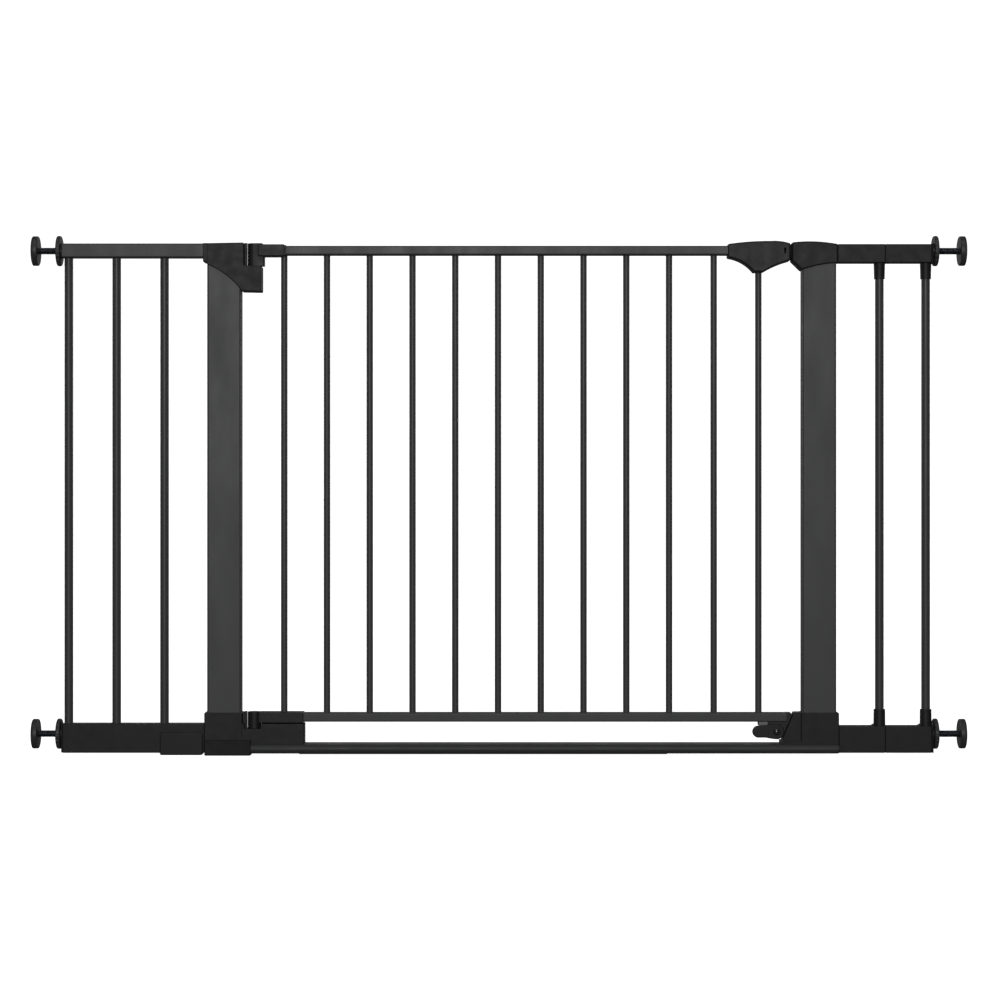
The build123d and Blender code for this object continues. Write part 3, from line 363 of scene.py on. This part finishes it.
def lathe(bm, profile, matrix, segments):
    """Turns a closed (radius, along) profile about the local Z axis."""
    rings = []
    for j in range(segments):
        angle = tau * j / segments
        rings.append(
            [bm.verts.new(matrix @ Vector((r * cos(angle), r * sin(angle), z))) for r, z in profile]
        )
    count = len(profile)
    for j in range(segments):
        here, there = rings[j], rings[(j + 1) % segments]
        for i in range(count):
            k = (i + 1) % count
            bm.faces.new((here[i], here[k], there[k], there[i]))


def along_x(x, z, outward):
    """A frame at (x, 0, z) whose local +Z points along +X or -X."""
    turn = Matrix.Rotation(radians(90 * outward), 4, "Y")
    return Matrix.Translation((x, 0, z)) @ turn


# ---- Spindles --------------------------------------------------------------------------------
def threaded_rod(name):
    """An M10 thread wound round the rod, with chamfered ends."""
    low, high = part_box(f"spindle_rod_{name}")
    centre = middle(f"spindle_rod_{name}")
    crest = (high[2] - low[2]) / 2 - 0.00004
    root = crest - THREAD_DEPTH
    around, per_turn = 40, 8
    heights = (0.0, 0.0, 0.35, 0.75, 1.0, 1.0, 0.75, 0.35)
    turns = int((high[0] - low[0]) / THREAD_PITCH) + 2
    bm = bmesh.new()
    rows = []
    for k in range(-per_turn, turns * per_turn):
        row = []
        for j in range(around):
            angle = tau * j / around
            x = low[0] + THREAD_PITCH * (k / per_turn + j / around)
            x = min(max(x, low[0]), high[0])
            radius = root + (crest - root) * heights[k % per_turn]
            radius = min(radius, root - 0.0003 + min(x - low[0], high[0] - x))
            place = (x, radius * cos(angle), centre.z - radius * sin(angle))
            row.append(bm.verts.new(place))
        rows.append(row)
    for k in range(len(rows) - 1):
        for j in range(around - 1):
            bm.faces.new((rows[k][j], rows[k][j + 1], rows[k + 1][j + 1], rows[k + 1][j]))
        if k + 1 + per_turn < len(rows):
            last = rows[k][-1], rows[k + per_turn][0], rows[k + 1 + per_turn][0], rows[k + 1][-1]
            bm.faces.new(last)
    bmesh.ops.remove_doubles(bm, verts=bm.verts, dist=1e-7)
    bmesh.ops.holes_fill(bm, edges=[e for e in bm.edges if e.is_boundary], sides=0)
    rod = new_piece(f"threaded_rod_{name}", bm, zinc_rods, f"{name}_spindle", 60)
    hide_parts(f"spindle_rod_{name}")


def grooved_pad(name):
    """The rubber facing, with a rolled rim and grip grooves cut in its wall face."""
    low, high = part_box(f"rubber_pad_{name}")
    centre = middle(f"rubber_pad_{name}")
    outward = -1 if centre.x < 0 else 1
    thick = high[0] - low[0]
    radius = (high[2] - low[2]) / 2
    inner_x = high[0] if outward < 0 else low[0]
    profile = [(0.0, 0.0), (radius - 0.0003, 0.0), (radius, 0.0004)]
    for i in range(7):
        turn = radians(15 * i)
        out, along = PAD_RIM * cos(turn), PAD_RIM * sin(turn)
        profile.append((radius - PAD_RIM + out, thick - PAD_RIM + along))
    for ring in PAD_GROOVES:
        profile += [
            (ring + GROOVE_HALF_TOP, thick),
            (ring + GROOVE_HALF_FLOOR, thick - GROOVE_DEPTH),
            (ring - GROOVE_HALF_FLOOR, thick - GROOVE_DEPTH),
            (ring - GROOVE_HALF_TOP, thick),
        ]
    profile.append((0.0, thick))
    bm = bmesh.new()
    lathe(bm, profile, along_x(inner_x, centre.z, outward), 72)
    pad = new_piece(f"grip_pad_{name}", bm, rubber_pads, f"{name}_spindle", 35)
    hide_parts(f"rubber_pad_{name}")


for spindle in SPINDLES:
    threaded_rod(spindle)
    grooved_pad(spindle)


# ---- Latch spring ----------------------------------------------------------------------------
def coil_spring():
    """A wound spring between its seat and the bolt."""
    low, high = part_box("latch_spring")
    centre = middle("latch_spring")
    length = high[0] - low[0]
    wire = SPRING_WIRE / 2
    coil = (high[1] - low[1]) / 2 - wire
    per_turn, around = 36, 10
    steps = SPRING_TURNS * per_turn
    bm = bmesh.new()
    rings = []
    for step in range(steps + 1):
        turn = tau * step / per_turn
        x = low[0] + wire + (length - 2 * wire) * step / steps
        ring = []
        for i in range(around):
            angle = tau * i / around
            out = coil + wire * cos(angle)
            place = (x + wire * sin(angle), centre.y + out * cos(turn), centre.z + out * sin(turn))
            ring.append(bm.verts.new(place))
        rings.append(ring)
    for here, there in zip(rings, rings[1:]):
        for i in range(around):
            k = (i + 1) % around
            bm.faces.new((here[i], here[k], there[k], there[i]))
    bm.faces.new(rings[0])
    bm.faces.new(rings[-1])
    spring = new_piece("coil_spring", bm, steel_pins, "door", 60)
    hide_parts("latch_spring")
    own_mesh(spring)


coil_spring()


# ---- Screws ----------------------------------------------------------------------------------
def pan_screw(bm, x, face_y, z, shank_end):
    """A domed head on the back face with a cross recess, and its shank in front of it."""
    radius, height = SCREW_HEAD_RADIUS, SCREW_HEAD_HEIGHT
    slot_half_width, slot_reach, slot_depth = radius * 0.13, radius * 0.56, height * 0.55
    segments, rings = 32, 7
    grid = []
    for i in range(rings + 1):
        r = radius * sin(pi / 2 * i / rings) if i else 0.0
        row = []
        for j in range(segments):
            angle = tau * j / segments
            across, up = r * cos(angle), r * sin(angle)
            rise = height * (1 - (r / radius) ** 3.0) ** 0.5 if r < radius else 0.0
            arm = min(abs(across), abs(up))
            reach = max(abs(across), abs(up))
            if arm < slot_half_width and reach < slot_reach:
                rise -= slot_depth * (1 - reach / radius)
            row.append(bm.verts.new((x + across, face_y + rise, z + up)))
        grid.append(row)
    for i in range(rings):
        for j in range(segments):
            k = (j + 1) % segments
            if i == 0:
                corners = grid[0][0], grid[1][k], grid[1][j]
            else:
                corners = grid[i][j], grid[i][k], grid[i + 1][k], grid[i + 1][j]
            bm.faces.new(corners)
    under = []
    for j in range(segments):
        angle = tau * j / segments
        across, up = SCREW_SHANK_RADIUS * cos(angle), SCREW_SHANK_RADIUS * sin(angle)
        under.append(bm.verts.new((x + across, face_y, z + up)))
    tip = [bm.verts.new((v.co.x, shank_end, v.co.z)) for v in under]
    for j in range(segments):
        k = (j + 1) % segments
        bm.faces.new((grid[rings][j], grid[rings][k], under[k], under[j]))
        bm.faces.new((under[j], under[k], tip[k], tip[j]))
    bm.faces.new(tip)


def bracket_screws():
    """The four screws that hold the brackets to the posts, one in each corner of the frame."""
    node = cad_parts["bracket_screws"]
    points = [v.co for v in node.data.vertices]
    seat = max(p.y for p in points) - SCREW_HEAD_HEIGHT
    front = min(p.y for p in points)
    bm = bmesh.new()
    for right in (False, True):
        for upper in (False, True):
            here = [p for p in points if (p.x > 0) == right and (p.z > MID_HEIGHT) == upper]
            x = (min(p.x for p in here) + max(p.x for p in here)) / 2
            z = (min(p.z for p in here) + max(p.z for p in here)) / 2
            pan_screw(bm, x, seat, z, front)
    loose = [v for v in bm.verts if not v.link_faces]
    bmesh.ops.delete(bm, geom=loose, context="VERTS")
    screws = new_piece("bracket_cross_screws", bm, zinc_screws, "frame", 30)
    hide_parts("bracket_screws")


bracket_screws()


# ---- Welds -----------------------------------------------------------------------------------
def weld_ring(bm, x, z, radius, size, up, phase):
    """A rippled bead round a bar where it meets a rail; up is the side that the bar is on."""
    around, across = 40, 6
    rows = []
    for j in range(around):
        angle = tau * j / around
        swell = 1.0 + 0.16 * sin(13 * angle + phase) + 0.07 * sin(29 * angle + 2 * phase)
        row = []
        for i in range(across):
            turn = pi / 2 * i / (across - 1)
            out = radius + size * swell * (1 - sin(turn)) * 0.9
            rise = size * swell * (1 - cos(turn))
            row.append(bm.verts.new((x + out * cos(angle), out * sin(angle), z + up * rise)))
        inner = radius - 0.0004
        for rise in (up * size * swell, 0.0):
            row.append(bm.verts.new((x + inner * cos(angle), inner * sin(angle), z + rise)))
        rows.append(row)
    for j in range(around):
        here, there = rows[j], rows[(j + 1) % around]
        for i in range(len(here)):
            k = (i + 1) % len(here)
            bm.faces.new((here[i], here[k], there[k], there[i]))


def welds(name, bars, body, joints):
    """One mesh of beads; joints lists (bar positions, height, side the bars are on)."""
    low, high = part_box(bars)
    radius = (high[1] - low[1]) / 2
    bm = bmesh.new()
    for xs, z, up in joints:
        for number, x in enumerate(xs):
            weld_ring(bm, x, z, radius, WELD_SIZE, up, 1.7 * number + 3.1 * up)
    new_piece(name, bm, paint_bars, body, 50)


extension_bars = stations("left_extension_bars")
extension_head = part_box("left_extension_top_rail")[0][2]
welds("left_extension_welds", "left_extension_bars", "frame", [(extension_bars, extension_head, -1)])

# The hinge arms take the ends of the first bar and the handle covers the head of the last one.
door_bars = stations("door_bars")
door_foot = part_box("door_bottom_rail")[1][2]
door_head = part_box("door_top_rail")[0][2]
welds(
    "door_welds",
    "door_bars",
    "door",
    [(door_bars[1:], door_foot, 1), (door_bars[1:-1], door_head, -1)],
)


# ---- Studio ----------------------------------------------------------------------------------
def area_light(name, place, aim, size, power):
    light = bpy.data.lights.new(name, "AREA")
    light.shape = "RECTANGLE"
    light.size, light.size_y = size
    light.energy = power
    lamp = bpy.data.objects.new(name, light)
    bpy.context.scene.collection.objects.link(lamp)
    lamp.location = place
    lamp.rotation_euler = (Vector(aim) - Vector(place)).to_track_quat("-Z", "Y").to_euler()
    lamp.visible_camera = False


def studio_floor():
    """A plain sweep: flat under the gate, curving up to a wall far behind it."""
    bm = bmesh.new()
    depth, height, bend, width = 7.0, 5.0, 2.5, 14.0
    line = [(-9.0, 0.0), (depth - bend, 0.0)]
    for i in range(1, 13):
        turn = pi / 2 * i / 12
        line.append((depth - bend + bend * sin(turn), bend - bend * cos(turn)))
    line.append((depth, height))
    left = [bm.verts.new((-width, y, z)) for y, z in line]
    right = [bm.verts.new((width, y, z)) for y, z in line]
    for i in range(len(line) - 1):
        bm.faces.new((left[i], right[i], right[i + 1], left[i + 1]))
    mesh = bpy.data.meshes.new("studio_floor")
    bm.to_mesh(mesh)
    bm.free()
    mesh.shade_smooth()
    floor = bpy.data.objects.new("studio_floor", mesh)
    bpy.context.scene.collection.objects.link(floor)
    material = bpy.data.materials.new("studio_white")
    material.use_nodes = True
    shader = material.node_tree.nodes["Principled BSDF"]
    shader.inputs["Base Color"].default_value = (0.88, 0.88, 0.88, 1)
    shader.inputs["Roughness"].default_value = 0.9
    shader.inputs["Specular IOR Level"].default_value = 0.1
    shader.inputs["Emission Color"].default_value = (1, 1, 1, 1)
    shader.inputs["Emission Strength"].default_value = 0.95
    mesh.materials.append(material)
    floor.visible_glossy = False
    floor.visible_diffuse = False


studio_floor()
area_light("key_front", (-0.15, -6.0, 1.5), (0, 0, 0.40), (2.0, 2.0), 165)
area_light("top", (0, -1.3, 3.6), (0, 0, 0.3), (3.0, 1.0), 22)
area_light("back", (0, 4.4, 2.4), (0, 0, 0.35), (3.0, 2.0), 14)
area_light("back_left", (-3.8, 4.4, 1.0), (0, 0, 0.35), (2.0, 1.5), 40)
area_light("back_right", (3.8, 4.4, 1.0), (0, 0, 0.35), (2.0, 1.5), 40)

world = bpy.data.worlds.new("studio_world")
bpy.context.scene.world = world
world.use_nodes = True
world.node_tree.nodes["Background"].inputs["Color"].default_value = (1, 1, 1, 1)
world.node_tree.nodes["Background"].inputs["Strength"].default_value = 0.085

camera_data = bpy.data.cameras.new("camera")
camera_data.lens = 91.9
camera_data.sensor_width = 36.0
camera_data.clip_end = 50.0
camera = bpy.data.objects.new("camera", camera_data)
bpy.context.scene.collection.objects.link(camera)
camera.location = (-0.00555, -3.6, 0.3692)
camera.rotation_euler = (radians(90), 0, 0)
bpy.context.scene.camera = camera
bpy.context.scene.view_settings.view_transform = "Standard"
